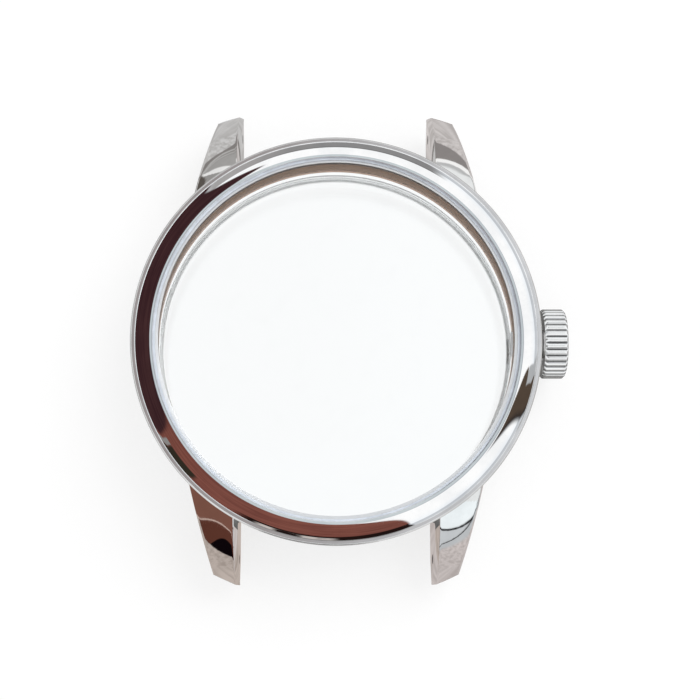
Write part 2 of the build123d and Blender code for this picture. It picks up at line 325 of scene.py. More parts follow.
@dataclass(frozen=True)
class BrushedSteel(Surface):
    """Satin steel with fine brush marks that follow the turning or the brush.

    Marks are noise read in stretched coordinates: far along the mark and close across it. Below a height in
    millimetres the steel may turn mirror-bright, under a light-brown step of painted reflection that a dark line of
    painted shadow tops.
    """

    name: str
    brushing: Brushing
    tint: Colour = (0.72, 0.71, 0.70)
    roughness: float = 0.24
    mark_width: float = 0.035
    mark_depth: float = 0.6
    bright_below: float = 0.0
    step_height: float = 1.2
    gap_shadow_height: float = 0.45
    crown_height: float = 5.4
    turn_stretch: float = 0.4
    crown_stretch: float = 0.1
    axis_stretch: float = 0.04
    broad_marks: float = 6.0
    cloud_size: float = 4.0
    tint_range: tuple[float, float] = (0.86, 1.06)
    mark_rough: float = 0.18
    cloud_rough: float = 0.06
    edge_shine: float = 0.05
    grazing: Colour = WHITE

    def surface(self, graph: Graph) -> bpy.types.NodeSocket:
        """Build the shader.

        Args:
            graph: the material's graph.

        Returns:
            The shader's output.
        """
        place = graph.place()
        x, y, z = graph.parts(place)
        if self.brushing is Brushing.AROUND_CASE:
            along = graph.joined((x * x + y * y) ** 0.5, z, y.turn_from(x) * (self.turn_stretch * MM))
        elif self.brushing is Brushing.ALONG_AXIS:
            along = graph.joined(x, y, z * self.axis_stretch)
        else:
            lifted = z - self.crown_height * MM
            along = graph.joined((y * y + lifted * lifted) ** 0.5, x, lifted.turn_from(y) * (self.crown_stretch * MM))
        marks = graph.noise(along, 1 / (self.mark_width * MM), 2.0, 0.65)
        broad = graph.noise(along, 1 / (self.mark_width * self.broad_marks * MM), 2.0)
        cloud = graph.noise(place, 1 / (self.cloud_size * MM), 3.0)
        pattern = (marks * 0.6 + broad * 0.4).ramp(0.3, 0.7)
        dark, light = (scaled(self.tint, factor) for factor in self.tint_range)
        steel = graph.shader("BsdfPrincipled", {
            "Base Color": graph.mixed(pattern, dark, light), "Metallic": 1.0, "Specular Tint": self.grazing,
            "Roughness": self.roughness * 0.8 + self.mark_rough * marks + self.cloud_rough * cloud
            - self.edge_shine * graph.mark("edge"),
            "Normal": graph.bump(marks, self.mark_depth * 0.002 * MM)})
        return self.painted_bands(graph, steel, z * (1 / MM), marks) if self.bright_below else steel

    def painted_bands(self, graph: Graph, upper: object, height: Value, marks: Value) -> bpy.types.NodeSocket:
        """Lay a light brown step of painted reflection with a dark line of painted shadow at its top, and a
        mirror-bright zone below, under the upper tint.

        Args:
            graph: the material's graph.
            upper: the shader above the step.
            height: height in millimetres.
            marks: the brush marks.

        Returns:
            The whole shader.
        """
        top = self.bright_below + self.step_height
        # the groove line is a dark line of painted shadow, where a gap would shade the ring; the light-brown step below
        # it is painted reflection
        groove = height.within(top - self.gap_shadow_height, top, 0.03)
        light = graph.mixed(marks, (0.42, 0.31, 0.25), (0.50, 0.38, 0.32))
        step = graph.shader("BsdfPrincipled", {
            "Base Color": graph.mixed(groove, light, (0.045, 0.027, 0.018)), "Metallic": 1.0,
            "Roughness": 0.12 + 0.1 * marks, "Specular Tint": (0.60, 0.50, 0.44)})
        mirror = graph.shader("BsdfPrincipled", {
            "Base Color": graph.mixed(marks, (0.97, 0.97, 0.97), (1.0, 1.0, 1.0)), "Metallic": 1.0,
            "Roughness": 0.05 + 0.03 * marks})
        upper = graph.blend(height.ramp(top, top + 0.05), step, upper)
        return graph.blend(height.ramp(self.bright_below - 0.05, self.bright_below + 0.05), mirror, upper)


@dataclass(frozen=True)
class ClearGlass(Surface):
    """Watch glass: clear, coated against reflections, with faint wipe marks and a finely ground rim.

    Its shadow is let through, because light passes real glass. The rim starts at a radius in millimetres, is rough
    from grinding and has a grey tint that is a painted dark reflection.
    """

    name: str
    tint: Colour = (0.99, 0.998, 1.0)
    ior: float = 1.52
    coating: float = 0.25
    ground_from: float = 1000.0
    rim_dark_reflection: Colour = (0.50, 0.52, 0.55)
    ground_rough: float = 0.3
    ground_fade: float = 0.02
    wipe_size: float = 2.5
    wipe_rough: float = 0.006
    wipe_shade: float = 0.985
    shadow_tint: Colour = (0.96, 0.97, 0.975)

    def surface(self, graph: Graph) -> bpy.types.NodeSocket:
        """Build the shader.

        Args:
            graph: the material's graph.

        Returns:
            The shader's output.
        """
        place = graph.place()
        wipes = graph.noise(place, 1 / (self.wipe_size * MM), 3.0).ramp(0.55, 0.8)
        x, y, _ = graph.parts(place)
        rim = ((x * x + y * y) ** 0.5).ramp(self.ground_from * MM, (self.ground_from + self.ground_fade) * MM)
        # the rim's grey tint is a painted dark reflection; its roughness is the real ground finish
        shade = graph.laid(self.tint, (wipes, scaled(self.tint, self.wipe_shade)), (rim, self.rim_dark_reflection))
        glass = graph.shader("BsdfPrincipled", {
            "Base Color": shade, "Metallic": 0.0, "IOR": self.ior,
            "Roughness": wipes * self.wipe_rough + rim * self.ground_rough,
            "Transmission Weight": 1.0, "Specular IOR Level": self.coating})
        clear = graph.shader("BsdfTransparent", {"Color": self.shadow_tint})
        return graph.blend(graph.is_ray("Shadow"), glass, clear)


@dataclass(frozen=True)
class Plastic(Surface):
    """Nylon, PTFE or rubber: a soft gloss, fine moulding grain and slight cloudiness."""

    name: str
    tint: Colour
    roughness: float = 0.4
    grain: float = 0.08
    variation: float = 0.12
    cloud_size: float = 1.6
    cloud_rough: float = 0.15
    grain_rough: float = 0.1
    grain_height: float = 0.004

    def surface(self, graph: Graph) -> bpy.types.NodeSocket:
        """Build the shader.

        Args:
            graph: the material's graph.

        Returns:
            The shader's output.
        """
        place = graph.place()
        grain = graph.noise(place, 1 / (self.grain * MM), 2.0)
        cloud = graph.noise(place, 1 / (self.cloud_size * MM), 3.0)
        colour = graph.mixed((cloud * 0.7 + grain * 0.3).ramp(0.3, 0.7), scaled(self.tint, 1 - self.variation),
                             scaled(self.tint, 1 + self.variation))
        rough = self.roughness + self.cloud_rough * (cloud - 0.5) + self.grain_rough * (grain - 0.5)
        return graph.shader("BsdfPrincipled", {
            "Base Color": colour, "Roughness": rough, "Normal": graph.bump(grain, self.grain_height * MM)})


class Finish(Enum):
    """The finishes of the object's pieces."""

    POLISHED_CASE = PolishedSteel("polished_case_steel")
    POLISHED_LUG = PolishedSteel("polished_lug_steel", mottle_depth=0.0012)
    POLISHED_BEZEL = PolishedSteel("polished_bezel_steel", tint=(0.96, 0.97, 0.98), ripple_depth=0.0006, haze=0.03)
    POLISHED_CROWN = PolishedSteel("polished_crown_steel", ripple_size=0.8, ripple_depth=0.001)
    # the brown tint and brown grazing colour of the inner ring and the casing ring are painted reflection of brown
    # surroundings, not the steel's own colour
    INNER_RING = BrushedSteel("satin_inner_ring_steel", Brushing.AROUND_CASE, tint=(0.27, 0.195, 0.15),
                              roughness=0.26, grazing=(0.39, 0.31, 0.26))
    CASING_RING = BrushedSteel("turned_casing_ring_steel", Brushing.AROUND_CASE, tint=(0.27, 0.195, 0.15),
                               roughness=0.22, mark_width=0.05, grazing=(0.42, 0.34, 0.29), bright_below=4.75)
    CASE_BACK = BrushedSteel("brushed_case_back_steel", Brushing.AROUND_CASE, tint=(0.95, 0.945, 0.94), roughness=0.12)
    TUBE = BrushedSteel("turned_tube_steel", Brushing.AROUND_CROWN)
    PIN = BrushedSteel("drawn_pin_steel", Brushing.ALONG_AXIS)
    CRYSTAL = ClearGlass("crystal_glass", ground_from=18.06)
    BACK_GLASS = ClearGlass("back_window_glass")
    NYLON = Plastic("milky_nylon", (0.70, 0.755, 0.83), roughness=0.32)
    WHITE_NYLON = Plastic("white_nylon", (0.92, 0.93, 0.94), roughness=0.3, variation=0.04)
    RUBBER = Plastic("black_seal_rubber", (0.02, 0.02, 0.021), roughness=0.45, grain=0.05, variation=0.3)
    WASHER = Plastic("white_slip_washer", (0.86, 0.86, 0.84), roughness=0.5)


# ---------------------------------------------------------------- shapes

Corner = tuple[float, float, float]
NewPiece = tuple[bpy.types.Object, str, Finish]


def rounded(corners: Sequence[Corner], closed: bool = True, steps: int = 6) -> tuple[np.ndarray, np.ndarray]:
    """Turn a chain of corners into a smooth outline.

    Each corner with a radius becomes an arc of a circle that touches both of its sides: the arc starts at the distance
    radius / tan(half the corner's angle) from the corner. A point just before and after each arc keeps the flats flat.

    Args:
        corners: (radius, height, fillet) in millimetres.
        closed: whether the last corner joins the first.
        steps: steps along each arc.

    Returns:
        The outline's points and, for each, 1 on a rounded corner and 0 elsewhere.
    """
    points: list[np.ndarray] = []
    edge: list[float] = []
    count = len(corners)
    for index, (radius, height, fillet) in enumerate(corners):
        here = np.array((radius, height))
        if fillet <= 0 or (not closed and index in (0, count - 1)):
            points.append(here[None])
            edge.append(0.0)
            continue
        before = np.array(corners[index - 1][:2]) - here
        after = np.array(corners[(index + 1) % count][:2]) - here
        room = min(np.linalg.norm(before), np.linalg.norm(after))
        before = before / np.linalg.norm(before)
        after = after / np.linalg.norm(after)
        half = math.acos(float(np.clip(before @ after, -1, 1))) / 2
        reach = min(fillet / math.tan(half), room * 0.45)
        size = reach * math.tan(half)
        middle = here + (before + after) / np.linalg.norm(before + after) * size / math.sin(half)
        start = here + before * reach - middle
        stop = here + after * reach - middle
        share = np.linspace(0, 1, steps + 1)[:, None]
        opening = math.acos(float(np.clip(start @ stop / size ** 2, -1, 1)))
        arc = (np.sin((1 - share) * opening) * start + np.sin(share * opening) * stop) / math.sin(opening)
        guard = min(0.04, room * 0.04)
        points.append((here + before * (reach + guard))[None])
        points.append(middle + arc)
        points.append((here + after * (reach + guard))[None])
        edge += [0.0] + [1.0] * (steps + 1) + [0.0]
    return np.concatenate(points), np.array(edge)


def arc_through(start: np.ndarray, middle: np.ndarray, stop: np.ndarray, count: int) -> np.ndarray:
    """Points on the circle through three points, at equal angles from start to stop.

    Args:
        start: first point of the arc.
        middle: a point on the arc.
        stop: last point of the arc.
        count: number of points.

    Returns:
        A (count, 2) array.
    """
    sides = 2 * np.array([middle - start, stop - start])
    squares = np.array([middle @ middle - start @ start, stop @ stop - start @ start])
    centre = np.linalg.solve(sides, squares)
    angles = [math.atan2(*(point - centre)[::-1]) for point in (start, middle, stop)]
    sweep = math.remainder(angles[1] - angles[0], math.tau) + math.remainder(angles[2] - angles[1], math.tau)
    turn = angles[0] + np.linspace(0, 1, count) * sweep
    size = np.linalg.norm(start - centre)
    return centre + size * np.stack([np.cos(turn), np.sin(turn)], axis=1)


def grid_faces(rows: int, columns: int, closed_rows: bool, closed_columns: bool) -> np.ndarray:
    """Join the neighbouring points of a grid, whose point in row r and column c has the number r columns + c.

    Args:
        rows: number of rows.
        columns: number of columns.
        closed_rows: whether the last row joins the first.
        closed_columns: whether the last column joins the first.

    Returns:
        The corner numbers of the quads, one row each.
    """
    row = np.arange(rows if closed_rows else rows - 1)
    column = np.arange(columns if closed_columns else columns - 1)
    row, column = np.meshgrid(row, column, indexing="ij")
    next_row = (row + 1) % rows
    next_column = (column + 1) % columns
    corners = [row * columns + column, row * columns + next_column,
               next_row * columns + next_column, next_row * columns + column]
    return np.stack([corner.ravel() for corner in corners], axis=1)


def capped_grid(grid: np.ndarray, poles: np.ndarray) -> tuple[np.ndarray, list[np.ndarray]]:
    """Close a grid that is turned about an axis by a pole at each end of its rows.

    Args:
        grid: (steps, columns, 3) array of points, one row for each step round the axis.
        poles: (2, 3) array, the first row's pole and the last's.

    Returns:
        All points, and the faces as groups of quads and triangles.
    """
    steps, columns = grid.shape[:2]
    start = np.arange(steps) * columns
    end = start + columns - 1
    count = steps * columns
    first = np.column_stack([start, np.roll(start, -1), np.full(steps, count)])
    last = np.column_stack([np.roll(end, -1), end, np.full(steps, count + 1)])
    return np.concatenate([grid.reshape(-1, 3), poles]), [grid_faces(steps, columns, True, False), first, last]


def tube_faces(rows: int, columns: int) -> list[np.ndarray]:
    """Close a tube of rows of points by a flat face at each end.

    Args:
        rows: number of rows.
        columns: number of points in a row, whose last joins the first.

    Returns:
        The faces as groups of quads and ends.
    """
    count = rows * columns
    ends = np.array([np.arange(columns), np.arange(count - 1, count - columns - 1, -1)])
    return [grid_faces(rows, columns, False, True), ends]


def signed_volume(points: np.ndarray, groups: Sequence[np.ndarray]) -> float:
    """Volume inside a closed mesh: the sum over its triangles of the corners' triple product, over six.

    Args:
        points: (n, 3) array.
        groups: corner numbers of the faces, in one array for each number of corners.

    Returns:
        The volume, which is negative where the faces point inwards.
    """
    triangles = np.concatenate([group[:, (0, i, i + 1)] for group in groups for i in range(1, group.shape[1] - 1)])
    first, second, third = (points[triangles[:, i]] for i in range(3))
    return float(np.einsum("ij,ij->i", first, np.cross(second, third)).sum() / 6)


def make_piece(name: str, points: np.ndarray, groups: Sequence[np.ndarray], edge: np.ndarray | None = None,
               hollow: np.ndarray | None = None, sharp_degrees: float = SHARP_DEGREES) -> bpy.types.Object:
    """Put points and faces into a smooth-shaded mesh object at the origin, with its faces pointing outwards.

    Args:
        name: the piece's name.
        points: (n, 3) array in millimetres in the shared frame.
        groups: corner numbers of the faces, in one array for each number of corners.
        edge: 1 where a point lies on a worn edge.
        hollow: 1 where a point lies at the bottom of a groove.
        sharp_degrees: edges with a larger angle between their faces are shaded sharp.

    Returns:
        The new object.
    """
    if signed_volume(points, groups) < 0:
        groups = [group[:, ::-1] for group in groups]
    mesh = bpy.data.meshes.new(name)
    mesh.from_pydata((points * MM).tolist(), [], [face for group in groups for face in group.tolist()])
    for label, marks in (("edge", edge), ("hollow", hollow)):
        marks = np.zeros(len(points)) if marks is None else marks
        mesh.attributes.new(label, "FLOAT", "POINT").data.foreach_set("value", marks.astype(np.float32))
    mesh.polygons.foreach_set("use_smooth", np.ones(len(mesh.polygons), bool))
    mesh.set_sharp_from_angle(angle=math.radians(sharp_degrees))
    mesh.validate()
    mesh.update()
    piece = bpy.data.objects.new(name, mesh)
    bpy.context.scene.collection.objects.link(piece)
    return piece


def lathe(name: str, outline: np.ndarray, edge: np.ndarray, segments: int = STEPS) -> bpy.types.Object:
    """Turn a closed outline about the case axis.

    A point is (radius cos angle, radius sin angle, height). Where the outline touches the axis, its points there
    become one pole each.

    Args:
        name: the piece's name.
        outline: (n, 2) points of radius and height. It may start and end on the axis.
        edge: 1 where an outline point lies on a rounded corner.
        segments: steps round the axis.

    Returns:
        The new object.
    """
    on_axis = outline[:, 0] < TOUCHING
    ring = outline[~on_axis]
    angle = np.linspace(0, math.tau, segments, endpoint=False)[:, None]
    grid = np.stack([np.cos(angle) * ring[:, 0], np.sin(angle) * ring[:, 0],
                     np.broadcast_to(ring[:, 1], (segments, len(ring)))], axis=2)
    marks = np.tile(edge[~on_axis], segments)
    if not on_axis.any():
        return make_piece(name, grid.reshape(-1, 3), [grid_faces(segments, len(ring), True, True)], marks)
    poles = np.column_stack([np.zeros((2, 2)), outline[on_axis][[0, -1], 1]])
    points, groups = capped_grid(grid, poles)
    return make_piece(name, points, groups, np.concatenate([marks, np.zeros(2)]))


def cylinder_tool(start: Sequence[float], stop: Sequence[float], radius: float,
                  segments: int = 48) -> bpy.types.Object:
    """A closed cylinder to cut a hole with.

    A point is centre + radius (cos angle * side + sin angle * up), with side and up square to the axis.

    Args:
        start: centre of one end in millimetres.
        stop: centre of the other end.
        radius: its radius in millimetres.
        segments: steps round the axis.

    Returns:
        The new object.
    """
    base, end = np.array(start, float), np.array(stop, float)
    axis = (end - base) / np.linalg.norm(end - base)
    side = np.cross(axis, (0.0, 0.0, 1.0) if abs(axis[2]) < 0.9 else (1.0, 0.0, 0.0))
    side /= np.linalg.norm(side)
    up = np.cross(axis, side)
    angle = np.linspace(0, math.tau, segments, endpoint=False)[:, None]
    round_it = radius * (np.cos(angle) * side + np.sin(angle) * up)
    points = np.concatenate([base + round_it, end + round_it])
    return make_piece("tool", points, tube_faces(2, segments))


def box(name: str, centre: Sequence[float], size: Sequence[float], turn: float = 0.0) -> bpy.types.Object:
    """A box whose corners are the centre plus or minus half its size, turned about the case axis.

    Args:
        name: the piece's name.
        centre: its centre in millimetres, before the turn.
        size: its three sides in millimetres.
        turn: the angle in radians.

    Returns:
        The new object.
    """
    signs = np.array([(x, y, z) for x in (-1, 1) for y in (-1, 1) for z in (-1, 1)], float)
    points = np.array(centre) + signs * np.array(size) / 2
    rotation = np.array(Matrix.Rotation(turn, 3, "Z"))
    sides = np.array([(0, 1, 3, 2), (4, 6, 7, 5), (0, 4, 5, 1), (2, 3, 7, 6), (0, 2, 6, 4), (1, 5, 7, 3)])
    return make_piece(name, points @ rotation.T, [sides])


def settle(piece: bpy.types.Object) -> None:
    """Apply a piece's modifiers to its mesh.

    Args:
        piece: the piece, which keeps its name.
    """
    graph = bpy.context.evaluated_depsgraph_get()
    mesh = bpy.data.meshes.new_from_object(piece.evaluated_get(graph), depsgraph=graph)
    piece.modifiers.clear()
    piece.data = mesh


def cut(piece: bpy.types.Object, tools: Sequence[bpy.types.Object], sharp_degrees: float = SHARP_DEGREES) -> None:
    """Take each tool's space out of a piece and throw the tools away.

    Args:
        piece: the piece.
        tools: closed objects.
        sharp_degrees: edges with a larger angle between their faces are shaded sharp.
    """
    for tool in tools:
        modifier = piece.modifiers.new("cut", "BOOLEAN")
        modifier.operation = "DIFFERENCE"
        modifier.solver = "EXACT"
        modifier.object = tool
        settle(piece)
        bpy.data.objects.remove(tool)
    piece.data.set_sharp_from_angle(angle=math.radians(sharp_degrees))


# ---------------------------------------------------------------- sub-assemblies

class SubAssembly:
    """What all sub-assemblies share.

    Each rides on one body, makes its pieces and keeps some CAD nodes as they are, by their finish.
    """

    body: str = ""
    kept: ClassVar[dict[str, Finish]] = {}

    def pieces(self) -> Iterator[NewPiece]:
        """Make the new pieces, each with the CAD node that it stands for and its finish."""
        raise NotImplementedError

    def build(self) -> None:
        """Let each new piece replace its node and ride on the body, and dress all pieces."""
        for piece, node, finish in self.pieces():
            piece.data.materials.clear()
            piece.data.materials.append(finish.value.material())
            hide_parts(node)
            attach(piece, self.body)
            LOG.info("%s stands for %s on %s: %d points", piece.name, node, self.body, len(piece.data.vertices))
        for node, finish in self.kept.items():
            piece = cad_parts[node]
            if not piece.material_slots:
                piece.data.materials.append(finish.value.material())
            for slot in piece.material_slots:
                slot.material = finish.value.material()
            LOG.info("%s keeps its CAD shape", node)


@dataclass
class CaseMiddle(SubAssembly):
    """The steel body: a turned band and four lugs."""

    body: str = "case"
    radius: float = 21.0
    bottom: float = 1.2
    top: float = 10.4
    socket_radius: float = 19.42
    lip_radius: float = 18.75
    lip_top: float = 9.2
    lip_bottom: float = 7.4
    bore_radius: float = 19.3
    groove_radius: float = 19.9
    groove_top: float = 1.79
    tube_radius: float = 1.5
    tube_start: float = 17.0
    tube_stop: float = 23.0
    crown_height: float = 5.4
    strap_half: float = 10.0
    lug_reach: float = 25.15
    lug_tip_slope: float = 0.565
    lug_tip_undercut: float = 0.2
    lug_tip: tuple[float, float] = (25.15, 3.9)
    lug_bend: tuple[float, float] = (22.216, 7.206)
    lug_shoulder: tuple[float, float] = (17.0, 9.6)
    lug_belly: tuple[float, float] = (22.6, 1.7)
    lug_toe: tuple[float, float] = (24.95, 2.9)
    lug_outer_tip: tuple[float, float] = (12.6, 24.0)
    lug_outer_root: tuple[float, float] = (15.0, 14.7)
    lug_root_radius: float = 20.4
    lug_bevel: float = 0.4
    lug_bevel_drop: float = 0.75
    lug_roll: float = 0.05
    lug_stations: int = 64
    lug_rise_steps: int = 10
    lug_crest_steps: int = 14
    lug_rounds: int = 24
    lug_edge: float = 0.05
    lug_edge_degrees: float = 28.0
    lug_sharp_degrees: float = 50.0
    hole_radius: float = 0.5
    hole_depth: float = 1.1
    hole_place: tuple[float, float] = (22.4, 4.6)

    def band(self) -> bpy.types.Object:
        """The turned band with the seats for bezel, inner ring, casing ring and back.

        Returns:
            The new object.
        """
        outline, edge = rounded([
            (20.25, self.bottom, 0.12), (self.radius, 2.5, 0.35), (self.radius, self.top - 0.15, 0.06),
            (self.radius - 0.15, self.top, 0.05), (self.socket_radius, self.top, 0.03),
            (self.socket_radius, self.lip_top, 0.05), (self.lip_radius, self.lip_top, 0.05),
            (self.lip_radius, self.lip_bottom, 0.05), (self.bore_radius, self.lip_bottom, 0.05),
            (self.bore_radius, self.groove_top, 0.06), (self.groove_radius, self.groove_top, 0.06),
            (self.groove_radius, self.bottom, 0.06)])
        piece = lathe("case_band", outline, edge, FINE_STEPS)
        start, stop = (self.tube_start, 0.0, self.crown_height), (self.tube_stop, 0.0, self.crown_height)
        cut(piece, [cylinder_tool(start, stop, self.tube_radius)])
        return piece

    def crest(self, reach: np.ndarray) -> np.ndarray:
        """Height of a lug's top: level to the shoulder, then the circle through shoulder, bend and tip."""
        arc = arc_through(*(np.array(point) for point in (self.lug_shoulder, self.lug_bend, self.lug_tip)), 200)
        return np.interp(reach, arc[:, 0], arc[:, 1])

    def belly(self, reach: np.ndarray) -> np.ndarray:
        """Height of a lug's underside: level, then rising in a straight line to the toe."""
        return np.interp(reach, (0.0, self.lug_belly[0], self.lug_toe[0]),
                         (self.lug_belly[1], self.lug_belly[1], self.lug_toe[1]))

    @property
    def bevel_share(self) -> float:
        """Share of a lug's width at its tip that the bevel takes."""
        return self.lug_bevel / (self.lug_outer_tip[0] - self.strap_half)

    def lug_section(self) -> np.ndarray:
        """The outline that a lug has at every station.

        Returns:
            (n, 2) array of the share s across the lug, from 0 at the inner face to 1 at the outer one, and the share h
            up it, from 0 at the underside to 1 at the crest.
        """
        inner = [(0.0, h) for h in np.linspace(0, 1, self.lug_rise_steps)]
        crest = [(s, 1.0) for s in np.linspace(self.bevel_share, 1, self.lug_crest_steps)]
        outer = [(1.0, h) for h in np.linspace(1, 0, self.lug_rise_steps)[1:]]
        under = [(s, 0.0) for s in np.linspace(1, 0, self.lug_crest_steps // 2)[1:-1]]
        return np.array(inner + crest + outer + under)

    def lug_grid(self) -> np.ndarray:
        """The crown-side lug at 12 o'clock as a tube of sections from inside the band to the slanted tip.

        At the station t the section point (s, h) lies at x = inner + s (outer(t) - inner) and
        y = root(x) + t (tip(x, z) - root(x)), with root(x) on the circle of the root radius and tip the plane of the
        tip. Its height z is belly(y) + h (crest(y) - belly(y)). The bevel lowers the crest at s = 0, and the roll
        lowers it by a share of the squared distance from the inner face. As x, y and z hang on each other, they are
        found in rounds from a first guess.

        Returns:
            (stations, n, 3) array of points.
        """
        share, lift = self.lug_section().T
        along = np.linspace(0, 1, self.lug_stations)[:, None]
        width = self.lug_outer_tip[0] - self.strap_half
        narrow = np.where(share > 0, np.minimum(share * width, self.lug_bevel), 0.0)
        rest = np.clip((share - self.bevel_share) / (1 - self.bevel_share), 0, 1)
        drop = np.where(share == 0, self.lug_bevel_drop, 0.0)
        (tip_x, tip_y), (root_x, root_y) = self.lug_outer_tip, self.lug_outer_root
        slope = (root_x - tip_x) / (tip_y - root_y)
        x = np.full((self.lug_stations, len(share)), self.strap_half + 1.0)
        z = np.full_like(x, self.lug_tip[1])
        for _ in range(self.lug_rounds):
            root = np.sqrt(self.lug_root_radius ** 2 - x ** 2)
            tip = (self.lug_reach - self.lug_tip_slope * (x - self.strap_half)
                   - self.lug_tip_undercut * (self.lug_tip[1] - z))
            y = root + along * (tip - root)
            outer_x = tip_x + (tip_y - y) * slope
            x = self.strap_half + narrow + rest * (outer_x - self.strap_half - self.lug_bevel)
            top = self.crest(y) - drop - self.lug_roll * (x - self.strap_half) ** 2
            z = self.belly(y) + lift * (top - self.belly(y))
        return np.stack([x, y, z], axis=2)

    def lug(self, name: str, side: float, end: float) -> bpy.types.Object:
        """One lug with rounded edges and its blind spring-bar hole.

        Args:
            name: the piece's name.
            side: 1 for the crown side, -1 for the other.
            end: 1 for 12 o'clock, -1 for 6 o'clock.

        Returns:
            The new object.
        """
        grid = self.lug_grid() * (side, end, 1.0)
        piece = make_piece(name, grid.reshape(-1, 3), tube_faces(*grid.shape[:2]))
        round_off = piece.modifiers.new("round_off", "BEVEL")
        round_off.width = self.lug_edge * MM
        round_off.segments = 3
        round_off.limit_method = "ANGLE"
        round_off.angle_limit = math.radians(self.lug_edge_degrees)
        settle(piece)
        place, height = self.hole_place
        hole = cylinder_tool((side * (self.strap_half - 1), end * place, height),
                             (side * (self.strap_half + self.hole_depth), end * place, height), self.hole_radius, 32)
        cut(piece, [hole], self.lug_sharp_degrees)
        piece.modifiers.new("flat_faces_stay_flat", "WEIGHTED_NORMAL").keep_sharp = True
        settle(piece)
        return piece

    def pieces(self) -> Iterator[NewPiece]:
        """Make the pieces.

        Yields:
            The band and the four lugs, each with its node and its finish.
        """
        yield self.band(), "case_middle", Finish.POLISHED_CASE
        for clock, end in (("12", 1.0), ("6", -1.0)):
            for name, side in (("right", 1.0), ("left", -1.0)):
                yield self.lug(f"lug_{clock}_{name}", side, end), "case_middle", Finish.POLISHED_LUG


@dataclass
class BezelAndCrystal(SubAssembly):
    """Bezel, its gasket, crystal, its gasket and the inner ring below."""

    kept: ClassVar = {"bezel_gasket": Finish.NYLON, "crystal_gasket": Finish.NYLON}
    body: str = "case"
    foot_radius: float = 20.55
    top: float = 10.4
    seat: float = 9.6
    bore_radius: float = 18.62
    skirt_radius: float = 19.22
    inner_edge: tuple[float, float] = (18.86, 11.35)
    bulge: float = 0.24
    band_edge: float = 11.302
    arc_points: int = 56
    crystal_radius: float = 18.4
    crystal_rim: float = 10.95
    crystal_shoulder: tuple[float, float] = (18.05, 11.25)
    crystal_top: float = 11.9
    glass_gap: float = 0.005
    flat_point: float = 9.0
    ring_inner: float = 18.15
    ring_bottom: float = 7.8
    ring_flange_bottom: float = 9.2
    ring_flange_radius: float = 19.4
    ring_outer: float = 18.75

    def bezel(self) -> bpy.types.Object:
        """The convex ring: an arc from the foot to the inner edge, a narrow band sloping in and a skirt below.

        Returns:
            The new object.
        """
        foot = np.array((self.foot_radius, self.top))
        edge_point = np.array(self.inner_edge)
        run = foot - edge_point
        outward = np.array((-run[1], run[0])) / np.linalg.norm(run)
        middle = (foot + edge_point) / 2 + outward * self.bulge
        crown = arc_through(foot, middle, edge_point, self.arc_points)
        corners: list[Corner] = [(foot[0] - 0.02, foot[1], 0.0), (foot[0] - 0.004, foot[1] + 0.02, 0.0)]
        corners += [(*point, 0.0) for point in crown[2:]]
        corners += [(self.bore_radius, self.band_edge, 0.03),
                    (self.bore_radius, self.seat, 0.04), (self.skirt_radius, self.seat, 0.04),
                    (self.skirt_radius, self.top, 0.03)]
        outline, edge = rounded(corners)
        return lathe("bezel_ring", outline, edge, FINE_STEPS)

    def crystal(self) -> bpy.types.Object:
        """The glass: flat below, bevelled at the rim, a shallow spherical dome on top.

        Returns:
            The new object.
        """
        shoulder_radius, shoulder = self.crystal_shoulder
        rise = self.crystal_top - shoulder
        sphere = (shoulder_radius ** 2 + rise ** 2) / (2 * rise)
        reach = np.linspace(0, 1, 30) ** 0.8 * shoulder_radius
        dome = np.column_stack([reach, self.crystal_top - sphere + np.sqrt(sphere ** 2 - reach ** 2)])
        seat, radius = self.seat + self.glass_gap, self.crystal_radius - 2 * self.glass_gap
        corners: list[Corner] = [(0.0, seat, 0.0), (self.flat_point, seat, 0.0), (radius, seat, 0.04),
                                 (radius, self.crystal_rim, 0.03), (shoulder_radius, shoulder, 0.03)]
        corners += [(*point, 0.0) for point in dome[::-1][1:]]
        outline, edge = rounded(corners, closed=False)
        return lathe("crystal_glass", outline, edge)

    def inner_ring(self) -> bpy.types.Object:
        """The ring between crystal and dial, with a flange under the bezel.

        Returns:
            The new object.
        """
        outline, edge = rounded([
            (self.ring_inner, self.ring_bottom, 0.03), (self.ring_outer, self.ring_bottom, 0.03),
            (self.ring_outer, self.ring_flange_bottom, 0.03), (self.ring_flange_radius, self.ring_flange_bottom, 0.03),
            (self.ring_flange_radius, self.seat, 0.03), (self.ring_inner + 0.12, self.seat, 0.03),
            (self.ring_inner, self.seat - 0.12, 0.03)])
        return lathe("inner_ring", outline, edge, FINE_STEPS)

    def pieces(self) -> Iterator[NewPiece]:
        """Make the pieces.

        Yields:
            Bezel, crystal and inner ring, each with its node and its finish.
        """
        yield self.bezel(), "bezel", Finish.POLISHED_BEZEL
        yield self.crystal(), "crystal", Finish.CRYSTAL
        yield self.inner_ring(), "rehaut_ring", Finish.INNER_RING


